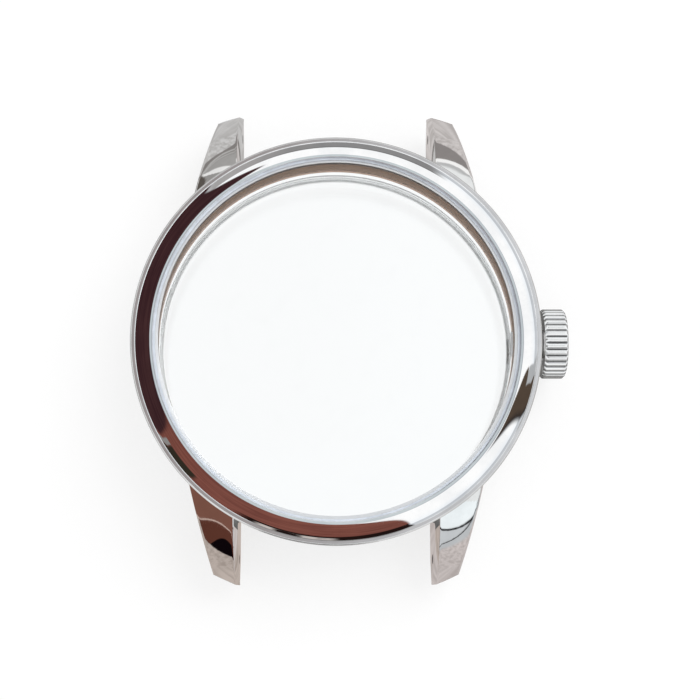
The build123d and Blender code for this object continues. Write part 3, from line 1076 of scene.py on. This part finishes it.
@dataclass
class CasingRing(SubAssembly):
    """The ring that holds the movement, and the pin that stops it from turning."""

    kept: ClassVar = {"ring_locating_pin": Finish.PIN}
    body: str = "case"
    inner: float = 18.35
    outer: float = 19.25
    pocket: float = 18.65
    bottom: float = 3.3
    top: float = 7.4
    pocket_floor: float = 6.95
    crown_height: float = 5.4
    slot_radius: float = 1.3

    def ring(self) -> bpy.types.Object:
        """The turned ring with its pocket and the stem slot, which is open to the back.

        Returns:
            The new object.
        """
        outline, edge = rounded([
            (self.inner, self.bottom, 0.05), (self.outer, self.bottom, 0.05), (self.outer, self.top, 0.05),
            (self.pocket, self.top, 0.04), (self.pocket, self.pocket_floor, 0.03),
            (self.inner, self.pocket_floor, 0.04)])
        piece = lathe("casing_ring", outline, edge)
        low = self.bottom - 1
        slot = box("tool", (self.inner, 0, (self.crown_height + low) / 2),
                   (3.0, 2 * self.slot_radius, self.crown_height - low))
        hole = cylinder_tool((self.inner - 1.6, 0, self.crown_height), (self.outer + 1, 0, self.crown_height),
                             self.slot_radius)
        cut(piece, [slot, hole])
        return piece

    def pieces(self) -> Iterator[NewPiece]:
        """The ring."""
        yield self.ring(), "movement_ring", Finish.CASING_RING


@dataclass
class Crown(SubAssembly):
    """The fluted crown head. Its post, washer, seal and tube stay as CAD nodes."""

    kept: ClassVar = {"crown_post": Finish.TUBE, "crown_gasket_washer": Finish.TUBE, "crown_gasket": Finish.RUBBER,
                      "crown_tube": Finish.TUBE}
    body: str = "crown"
    height: float = 5.4
    mouth: float = 21.55
    shoulder: float = 23.95
    tip: float = 24.35
    radius: float = 3.65
    flute_count: int = 32
    flute_depth: float = 0.24
    flute_bevel: float = 0.2
    flute_steps: int = 14
    flute_power: float = 0.9
    dome_radius: float = 3.2
    cavity_radius: float = 2.35
    cavity_floor: float = 23.2
    post_radius: float = 1.0
    post_end: float = 23.6

    def head(self) -> bpy.types.Object:
        """The fluted head as a surface of the angle and of a place on its outline.

        The outline is a closed chain of (radius, place along the crown's axis). At each angle the radius is the smaller
        of the outline's and of the flutes', whose radius is that of a ridge less the groove depth times a power of the
        cosine between ridge and groove, so that ridges are broad and grooves are narrow.

        Returns:
            The new object.
        """
        rise = self.tip - self.shoulder
        sphere = (self.dome_radius ** 2 + rise ** 2) / (2 * rise)
        dome_r = np.linspace(0, 1, 16)[1:] ** 0.8 * self.dome_radius
        dome = np.column_stack([dome_r, self.tip - sphere + np.sqrt(sphere ** 2 - dome_r ** 2)])
        inside = rounded([(0.0, self.post_end, 0.0), (self.post_radius, self.post_end, 0.03),
                          (self.post_radius, self.cavity_floor, 0.03), (self.cavity_radius, self.cavity_floor, 0.05),
                          (self.cavity_radius, self.mouth, 0.05), (self.radius - self.flute_bevel, self.mouth, 0.03),
                          (self.radius, self.mouth + self.flute_bevel, 0.0)], closed=False)
        flank_x = np.linspace(self.mouth + self.flute_bevel, self.shoulder - self.flute_bevel, 9)[1:]
        flank = np.column_stack([np.full_like(flank_x, self.radius), flank_x])
        slope = np.linspace(0, 1, 7)[1:-1, None]
        bevel = flank[-1] + slope * (np.array((self.radius - self.flute_bevel, self.shoulder)) - flank[-1])
        end = rounded([(bevel[-1, 0], bevel[-1, 1], 0.0), (self.radius - self.flute_bevel, self.shoulder, 0.03),
                       (self.dome_radius, self.shoulder, 0.05), (dome[-2, 0], dome[-2, 1], 0.0)], closed=False)
        outline = np.concatenate([inside[0], flank, bevel, end[0][1:], dome[::-1][2:], [(0.0, self.tip)]])
        edge = np.concatenate([inside[1], np.zeros(len(flank) + len(bevel)), end[1][1:], np.zeros(len(dome) - 1)])
        on_axis = outline[:, 0] < TOUCHING
        ring, ring_edge = outline[~on_axis], edge[~on_axis]
        steps = self.flute_count * self.flute_steps
        angle = np.linspace(0, math.tau, steps, endpoint=False)[:, None]
        wave = np.abs(np.cos(angle * self.flute_count / 2)) ** self.flute_power
        fluted = self.radius - self.flute_depth * (1 - wave)
        outside = np.arange(len(ring)) >= len(inside[0]) - 6
        radius = np.where(outside, np.minimum(ring[:, 0], fluted), ring[:, 0])
        grid = np.stack([np.broadcast_to(ring[:, 1], radius.shape), radius * np.cos(angle),
                         radius * np.sin(angle) + self.height], axis=2)
        poles = np.array([(self.post_end, 0.0, self.height), (self.tip, 0.0, self.height)])
        points, groups = capped_grid(grid, poles)
        marks = np.concatenate([np.tile(ring_edge, steps), np.zeros(2)])
        depth = np.where(outside, np.clip((ring[:, 0] - fluted) / self.flute_depth, 0, 1), 0.0)
        depth = np.concatenate([depth.ravel(), np.zeros(2)])
        return make_piece("crown_head", points, groups, marks, depth, 40.0)

    def pieces(self) -> Iterator[NewPiece]:
        """The crown's head."""
        yield self.head(), "crown_shell", Finish.POLISHED_CROWN


@dataclass
class CaseBack(SubAssembly):
    """The screwed back with its window and seals."""

    kept: ClassVar = {"back_glass_gasket": Finish.WHITE_NYLON, "back_gasket": Finish.RUBBER,
                      "back_slip_washer": Finish.WASHER}
    body: str = "back"
    window: float = 18.1
    bore: float = 18.7
    flange: float = 19.95
    flange_top: float = 1.18
    neck: float = 19.25
    neck_top: float = 3.2
    thread_pitch: float = 0.25
    thread_depth: float = 0.09
    ledge: float = 0.6
    glass_radius: float = 18.55
    glass_top: float = 2.0
    glass_gap: float = 0.005
    flat_point: float = 9.0
    notch_count: int = 6
    notch: tuple[float, float, float] = (1.8, 2.2, 1.4)

    def ring(self) -> bpy.types.Object:
        """The turned back ring with thread ridges on its neck and six tool notches.

        The thread is drawn as rings at the thread's pitch, cut by at most its clearance.

        Returns:
            The new object.
        """
        pitch = self.thread_pitch
        thread = []
        for height in np.arange(self.flange_top + 0.35, self.neck_top - 0.2, pitch):
            thread += [(self.neck, height, 0.0), (self.neck - self.thread_depth, height + pitch / 2, 0.0)]
        outline, edge = rounded([
            (self.window + 0.25, 0.0, 0.04), (self.flange - 0.2, 0.0, 0.06), (self.flange, 0.2, 0.06),
            (self.flange, self.flange_top, 0.05), (self.neck, self.flange_top, 0.05)] + thread + [
            (self.neck, self.neck_top, 0.05), (self.bore, self.neck_top, 0.05), (self.bore, self.ledge, 0.04),
            (self.window, self.ledge, 0.04), (self.window, 0.25, 0.04)])
        piece = lathe("back_threaded_ring", outline, edge, FINE_STEPS)
        cut(piece, [box("tool", (self.flange, 0, 0), self.notch, math.tau * index / self.notch_count)
                    for index in range(self.notch_count)])
        return piece

    def glass(self) -> bpy.types.Object:
        """The window of the back with softened edges.

        Returns:
            The new object.
        """
        seat, radius = self.ledge + self.glass_gap, self.glass_radius - 2 * self.glass_gap
        outline, edge = rounded([
            (0.0, seat, 0.0), (self.flat_point, seat, 0.0), (radius, seat, 0.05), (radius, self.glass_top, 0.05),
            (self.flat_point, self.glass_top, 0.0), (0.0, self.glass_top, 0.0)], closed=False)
        return lathe("back_window", outline, edge)

    def pieces(self) -> Iterator[NewPiece]:
        """The back's ring and window."""
        yield self.ring(), "back_ring", Finish.CASE_BACK
        yield self.glass(), "back_glass", Finish.BACK_GLASS


# ---------------------------------------------------------------- studio

@dataclass
class Studio:
    """Camera, pale floor, white world, and painted rooms that only shiny surfaces show."""

    distance: float = 143.0
    target_height: float = 10.4
    tilt: float = -8.3
    lean: float = 1.0
    roll: float = 0.1
    focal_pixels: float = 1406.0
    image_pixels: float = 700.0
    centre_pixels: tuple[float, float] = (336.7, 337.1)
    sensor: float = 36.0
    camera_reach: tuple[float, float] = (10.0, 5000.0)
    room_rings: int = 40
    room_steps: int = 96
    room_top_degrees: float = 89.5
    room_foot: float = 0.6
    room_spread: float = 0.0001
    skirt_start: float = 20.3
    skirt_fade: float = 0.5
    skirt_rings: tuple[float, ...] = (45.0, 70.0, 120.0, 250.0)
    floor_half: float = 1500.0
    floor_grain: float = 7.0
    floor_gap: float = 0.01
    floor_thickness: float = 1.99
    paper_glow: float = 0.72
    world_strength: float = 0.85
    lamp_place: tuple[float, float, float] = (220.0, 200.0, 360.0)
    lamp_size: float = 350.0
    lamp_watts: float = 0.9

    def camera(self) -> None:
        """The camera of the photograph: on its own axis above the flange, turned by tilt, lean and roll."""
        data = bpy.data.cameras.new("camera")
        data.sensor_width = self.sensor
        data.lens = self.focal_pixels / self.image_pixels * self.sensor
        data.shift_x = (self.image_pixels / 2 - self.centre_pixels[0]) / self.image_pixels
        data.shift_y = (self.centre_pixels[1] - self.image_pixels / 2) / self.image_pixels
        data.clip_start, data.clip_end = (reach * MM for reach in self.camera_reach)
        turn = (Matrix.Rotation(math.radians(self.roll), 3, "Z") @ Matrix.Rotation(math.radians(self.tilt), 3, "X")
                @ Matrix.Rotation(math.radians(self.lean), 3, "Y")).transposed()
        place = turn @ Vector((0, 0, self.distance * MM)) + Vector((0, 0, self.target_height * MM))
        camera = bpy.data.objects.new("camera", data)
        camera.matrix_world = Matrix.Translation(place) @ turn.to_4x4()
        bpy.context.scene.collection.objects.link(camera)
        bpy.context.scene.camera = camera

    def seen_directly(self, graph: Graph) -> Value:
        """1 for camera, glossy and transmission rays, which all show the white background."""
        return graph.is_ray("Camera").larger(graph.is_ray("Glossy")).larger(graph.is_ray("Transmission"))

    def floor(self) -> None:
        """A wide pale floor under the back: white where it is seen directly, less the object's soft shadow."""
        material, graph = new_material("pale_floor")
        grain = graph.noise(graph.place(), 1 / (self.floor_grain * MM), 4.0, 0.6)
        matt = graph.shader("BsdfDiffuse", {"Color": graph.mixed(grain, (0.78, 0.755, 0.745), (0.90, 0.885, 0.88))})
        white_paper = graph.shader("BsdfDiffuse", {"Color": (0.97, 0.97, 0.97)})
        glow = graph.shader("Emission", {"Color": WHITE, "Strength": 1.0})
        share = graph.is_ray("Transmission") * (1 - self.paper_glow) + self.paper_glow
        paper = graph.blend(share, white_paper, glow)
        graph.finish(graph.blend(self.seen_directly(graph), matt, paper))
        width, top, thickness = 2 * self.floor_half, -self.floor_gap, self.floor_thickness
        floor = box("floor", (0.0, 0.0, top - thickness / 2), (width, width, thickness))
        floor.data.materials.append(material)

    def bezel_paint(self, graph: Graph) -> bpy.types.NodeSocket:
        """What the bezel mirrors, as a function of the direction (x, y, z) from the object.

        The dark side is where y + 0.49 x stays under one line and x + 0.5 min(y, 0) + 0.25 max(y, 0) under another:
        dark red-brown beyond 9 o'clock, brown beyond 6 o'clock, with a low shade, pale streaks that stand for scratches
        and a dark corner. The rest is white, paler low down, with a grey low band beyond 12 o'clock and a brown post to
        the right. An oval overhead is grey.

        Args:
            graph: the room's graph.

        Returns:
            The colour.
        """
        x, y, z, _ = graph.direction()
        azimuth = y.turn_from(x) * math.degrees(1)
        around = azimuth + (1 - azimuth.ramp(-0.01, 0.01)) * 360
        under_top = (0.5235 - y - x * 0.493).ramp(-0.015, 0.02)
        left = (-0.03 - x - y.smaller(0.0) * 0.4955 - y.larger(0.0) * 0.25).ramp(-0.012, 0.012)
        cloud = graph.noise(graph.joined(x * 2.0, y * 2.0, z * 5.0), 2.2, 3.0).ramp(0.3, 0.7)
        shade = z.ramp(0.22, 0.16) * around.ramp(235, 243)
        # pale streaks in the mirrored room: painted reflection standing for scratches on the bezel
        pale_streak = z.within(-0.05, 0.03, 0.015) * around.within(245, 270, 2.0) * cloud.ramp(0.1, 0.5)
        corner = around.within(207, 220, 1.0) * z.ramp(0.42, 0.36)
        brown = graph.laid(
            graph.mixed(cloud, (0.155, 0.052, 0.040), (0.225, 0.080, 0.060)),
            (shade, (0.014, 0.007, 0.006)),
            (pale_streak, (0.55, 0.50, 0.47)),
            (corner, (0.030, 0.025, 0.017)))
        beyond_six = (x * 0.6 + 0.166 - y).ramp(-0.02, 0.02)
        slit = around.within(204.2, 206.8, 0.4) * z.ramp(0.42, 0.38)
        dark = graph.laid(
            graph.mixed(cloud, (0.036, 0.014, 0.017), (0.056, 0.024, 0.025)),
            (beyond_six, brown),
            (slit, (0.26, 0.25, 0.24)),
            (z.ramp(-0.28, -0.36), (0.035, 0.018, 0.018)))
        beyond_twelve = z.ramp(0.41, 0.38) * around.within(61, 126, 3.0)
        band = graph.laid(
            (0.265, 0.26, 0.26),
            (z.ramp(0.31, 0.34), (0.11, 0.11, 0.11)),
            (around.ramp(98, 120), (0.40, 0.385, 0.38)))
        ahead = x.ramp(0.3, 0.36)
        post_side = y + x * 0.315
        post_end = (y + x * 0.02 + z.ramp(0.55, 0.45) * x * 0.07).ramp(0.03, 0.015)
        post = graph.mixed(post_side.ramp(0.08, 0.0), (0.082, 0.058, 0.042), (0.016, 0.015, 0.017))
        beside_post = (y / x).within(-0.10, 0.0, 0.008) * z.ramp(0.55, 0.45) * ahead
        white = graph.laid(
            graph.mixed(z.ramp(0.0, 0.6), (0.92, 0.95, 0.98), WHITE),
            (z.ramp(0.10, -0.02), (0.52, 0.54, 0.57)),
            (z.ramp(-0.28, -0.38), (0.20, 0.20, 0.20)),
            (beyond_twelve, band),
            (post_side.ramp(-0.03, 0.03) * post_end * ahead, post),
            (beside_post, (0.42, 0.43, 0.44)))
        grey = graph.mixed(x.larger(x * -1).ramp(0.05, 0.2), (0.58, 0.63, 0.65), (0.38, 0.41, 0.45))
        return self.overhead(graph, graph.mixed(under_top * left, white, dark), grey)

    def overhead(self, graph: Graph, sky: object, grey: object) -> bpy.types.NodeSocket:
        """Put a grey oval, which the flat faces mirror, over a painted sky.

        Args:
            graph: the room's graph.
            sky: the colour round the oval.
            grey: the oval's colour.

        Returns:
            The colour.
        """
        x, y, _, _ = graph.direction()
        oval = (x - 0.03) * (x - 0.03) * (1 / 0.28 ** 2) + (y - 0.11) * (y - 0.11) * (1 / 0.25 ** 2)
        return graph.mixed(oval.ramp(1.06, 0.94), sky, grey)

    def lug_paint(self, graph: Graph) -> bpy.types.NodeSocket:
        """What the lugs mirror: pale cloth below, then bands.

        The edge of a band is a line of height z against sideways reach s. Each quarter of the room serves the lug that
        looks that way.

        Args:
            graph: the room's graph.

        Returns:
            The colour.
        """
        x, y, z, _ = graph.direction()
        s = x.larger(x * -1)
        mottle = graph.noise(graph.joined(x, y, z), 17.0, 3.0, 0.6).ramp(0.35, 0.65)

        def cloth(red: float, green: float, blue: float) -> bpy.types.NodeSocket:
            """Mottled pale cloth."""
            return graph.mixed(mottle, (red * 0.82, green * 0.81, blue * 0.80), (red * 1.1, green * 1.1, blue * 1.1))

        def above(line: object, soft: float, colour: Colour) -> tuple[Value, Colour]:
            """A layer from a line up."""
            return (z - line).ramp(-soft, soft), colour

        def along(line: object, half: float, colour: Colour) -> tuple[Value, Colour]:
            """A thin layer along a line."""
            return (z - line).within(-half, half, 0.006), colour

        top_right = graph.laid(
            cloth(0.61, 0.575, 0.565),
            above(0.09 + s * 0.42, 0.008, (0.273, 0.252, 0.245)),
            above(0.54 - s * 0.2, 0.008, (0.97, 0.96, 0.95)),
            above(0.60 - s * 0.2, 0.012, (0.50, 0.50, 0.50)),
            above(0.66 - s * 0.2, 0.03, (0.85, 0.86, 0.86)))
        top_left = graph.laid(
            cloth(0.575, 0.565, 0.56),
            above(0.45 - 0.045 / (s + 0.04), 0.008, (0.245, 0.228, 0.22)),
            above(0.27 + s * 0.29, 0.01, (0.31, 0.295, 0.285)),
            above(0.40 + s * 0.12, 0.03, (0.38, 0.37, 0.36)),
            above(0.685 - s * 0.28, 0.01, (0.88, 0.87, 0.86)),
            above(0.755 - s * 0.28, 0.01, (0.33, 0.32, 0.31)),
            along(0.29 + s * 0.29, 0.010, (0.50, 0.49, 0.48)),
            along(0.36 + s * 0.20, 0.008, (0.47, 0.46, 0.45)),
            (s.ramp(0.64, 0.70) * z.within(0.48, 0.68, 0.02), (0.11, 0.095, 0.085)))
        wedge = 0.18 + s * 0.43
        hump = 0.54 - (s - 0.28) * (s - 0.28) * 5.0
        arch = (s - 0.36) * (s - 0.36) * 1.5
        bottom_left = graph.laid(
            cloth(0.485, 0.415, 0.375),
            above(wedge, 0.008, (0.004, 0.002, 0.003)),
            above(hump.larger(wedge), 0.008, (0.105, 0.036, 0.024)),
            above(0.72 - arch, 0.01, (0.190, 0.083, 0.060)),
            along(0.71 - arch, 0.007, (0.62, 0.46, 0.40)))
        bottom_right = graph.laid(
            cloth(0.585, 0.53, 0.515),
            above(0.37 + s * 0.09, 0.035, (0.53, 0.545, 0.56)),
            above(0.46 + s * 0.15, 0.01, (0.60, 0.62, 0.64)),
            above(0.75 - s * 0.26, 0.012, (0.93, 0.98, 1.0)),
            along(0.44 + s * 0.15, 0.008, (0.03, 0.03, 0.032)),
            along(0.73 - s * 0.26, 0.012, (0.03, 0.03, 0.032)))
        right, upper = x.ramp(-0.004, 0.004), (y + x.smaller(0.0) * 0.15).ramp(-0.004, 0.004)
        top = graph.mixed(right, top_left, top_right)
        bottom = graph.mixed(right, bottom_left, bottom_right)
        return graph.mixed(upper, bottom, top)

    def studio_paint(self, graph: Graph) -> bpy.types.NodeSocket:
        """What all other pieces mirror: a white sky with a few grey panels, and a table that is dark near the case.

        Args:
            graph: the room's graph.

        Returns:
            The colour.
        """
        x, y, z, length = graph.direction()
        azimuth = y.turn_from(x) * math.degrees(1)
        cloud = graph.noise(graph.joined(x * 2.0, y * 2.0, z * 4.0), 1.6, 2.0)
        panels = azimuth.within(-20, 14, 3.0) + azimuth.within(96, 122, 4.0) + azimuth.within(-118, -64, 5.0)
        # the table's darkness near the case is a painted contact shadow in the mirrored room
        table = graph.laid(
            (0.10, 0.098, 0.096),
            (length.ramp(0.022, 0.062), (0.58, 0.575, 0.57)),
            (length.ramp(0.062, 0.3), (0.80, 0.795, 0.79)),
            (cloud.ramp(0.35, 0.7) * 0.3, (0.30, 0.295, 0.29)))
        sky = graph.laid(
            (0.62, 0.64, 0.66),
            (z.ramp(0.05, 0.5), (0.98, 0.99, 1.0)),
            (panels * z.ramp(0.42, 0.34), (0.26, 0.255, 0.25)),
            (length.ramp(1.68, 1.6), table))
        grey = graph.laid(
            (0.345, 0.315, 0.315),
            (x.ramp(-0.08, 0.2), (0.66, 0.67, 0.69)),
            (y.ramp(0.0, -0.09), (0.50, 0.55, 0.59)))
        return self.overhead(graph, sky, grey)

    def shell(self, name: str, radius: float) -> bpy.types.Object:
        """A half-round shell on a flat skirt.

        The skirt's points are (reach cos azimuth, reach sin azimuth, low), and the shell's are low plus radius times
        (cos elevation cos azimuth, cos elevation sin azimuth, sin elevation). The larger a shell, the lower its skirt
        lies, so that no two skirts touch.

        Args:
            name: the shell's name.
            radius: its radius in millimetres.

        Returns:
            The new object.
        """
        elevation = np.linspace(0, math.radians(self.room_top_degrees), self.room_rings)
        azimuth = np.linspace(0, math.tau, self.room_steps, endpoint=False)
        low = self.room_foot - radius * self.room_spread
        skirt = np.array((self.skirt_start, *self.skirt_rings))
        reach = np.concatenate([skirt, radius * np.cos(elevation)])[:, None]
        height = np.concatenate([np.full(len(skirt), low), low + radius * np.sin(elevation)])[:, None]
        grid = np.stack([reach * np.cos(azimuth), reach * np.sin(azimuth),
                         np.broadcast_to(height, (len(height), len(azimuth)))], axis=2)
        rows, columns = grid.shape[:2]
        lid = np.arange((rows - 1) * columns, rows * columns)[None]
        return make_piece(name, grid.reshape(-1, 3), [grid_faces(rows, columns, False, True), lid])

    def room(self, name: str, radius: float, paint: Callable[[Graph], bpy.types.NodeSocket],
             shown_to: Sequence[str], but: bool = False) -> None:
        """A painted room, seen only in the shine of the pieces that it is linked to.

        Rooms lie inside each other: a ray from another piece passes through this one, and only the outermost is solid.
        A room's skirt fades out towards the case.

        Args:
            name: the room's name.
            radius: its radius in millimetres.
            paint: what colours it.
            shown_to: the pieces that mirror it.
            but: whether it is shown to all pieces but those, and solid.
        """
        shell = self.shell(name, radius)
        material, graph = new_material(name)
        clear = graph.shader("BsdfTransparent")
        glow = graph.shader("Emission", {"Color": paint(graph), "Strength": 1.0})
        if not but:
            glow = graph.shader("AddShader", {0: glow, 1: clear})
        solid = graph.direction()[3].ramp(self.skirt_start * MM, (self.skirt_start + self.skirt_fade) * MM)
        graph.finish(graph.blend(solid, clear, glow))
        shell.data.materials.append(material)
        for kind in ("camera", "diffuse", "shadow", "transmission", "volume_scatter"):
            setattr(shell, "visible_" + kind, False)
        mirrors = bpy.data.collections.new(name + "_mirrors")
        for piece in shown_to:
            mirrors.objects.link(bpy.data.objects[piece])
        if but:
            for link in mirrors.collection_objects:
                link.light_linking.link_state = "EXCLUDE"
        shell.light_linking.receiver_collection = mirrors

    def rooms(self) -> None:
        """One painted room for the bezel, one for the lugs and one for all the rest."""
        bezel = ["bezel_ring"]
        lugs = [f"lug_{clock}_{side}" for clock in ("12", "6") for side in ("right", "left")]
        self.room("bezel_room", 500.0, self.bezel_paint, bezel)
        self.room("lug_room", 1500.0, self.lug_paint, lugs)
        self.room("studio_room", 1700.0, self.studio_paint, bezel + lugs, but=True)

    def light(self) -> None:
        """A white world and one broad soft lamp above the crown side."""
        world = bpy.data.worlds.new("soft_white")
        bpy.context.scene.world = world
        world.use_nodes = True
        graph = Graph(world.node_tree)
        glow = graph.shader("Background", {"Color": WHITE, "Strength": 1.0})
        soft = graph.shader("Background", {"Color": WHITE, "Strength": self.world_strength})
        graph.finish(graph.blend(self.seen_directly(graph), soft, glow), "ShaderNodeOutputWorld")
        data = bpy.data.lights.new("soft_lamp", "AREA")
        data.shape = "DISK"
        data.size = self.lamp_size * MM
        data.energy = self.lamp_watts
        lamp = bpy.data.objects.new("soft_lamp", data)
        place = Vector(self.lamp_place) * MM
        lamp.location = place
        lamp.rotation_mode = "QUATERNION"
        lamp.rotation_quaternion = place.to_track_quat("Z", "Y")
        lamp.visible_glossy = False
        bpy.context.scene.collection.objects.link(lamp)

    def build(self) -> None:
        """Set up camera, floor, rooms and light, and the plain view transform."""
        self.camera()
        self.floor()
        self.rooms()
        self.light()
        bpy.context.scene.view_settings.view_transform = "Standard"


def main() -> None:
    """Build every sub-assembly in order."""
    logging.basicConfig(level=logging.INFO, format="%(message)s")
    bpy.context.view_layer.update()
    for part in (CaseMiddle(), BezelAndCrystal(), CasingRing(), Crown(), CaseBack()):
        LOG.info("building %s", type(part).__name__)
        part.build()
    Studio().build()
    LOG.info("sizes written")


if __name__ == "__main__":
    main()
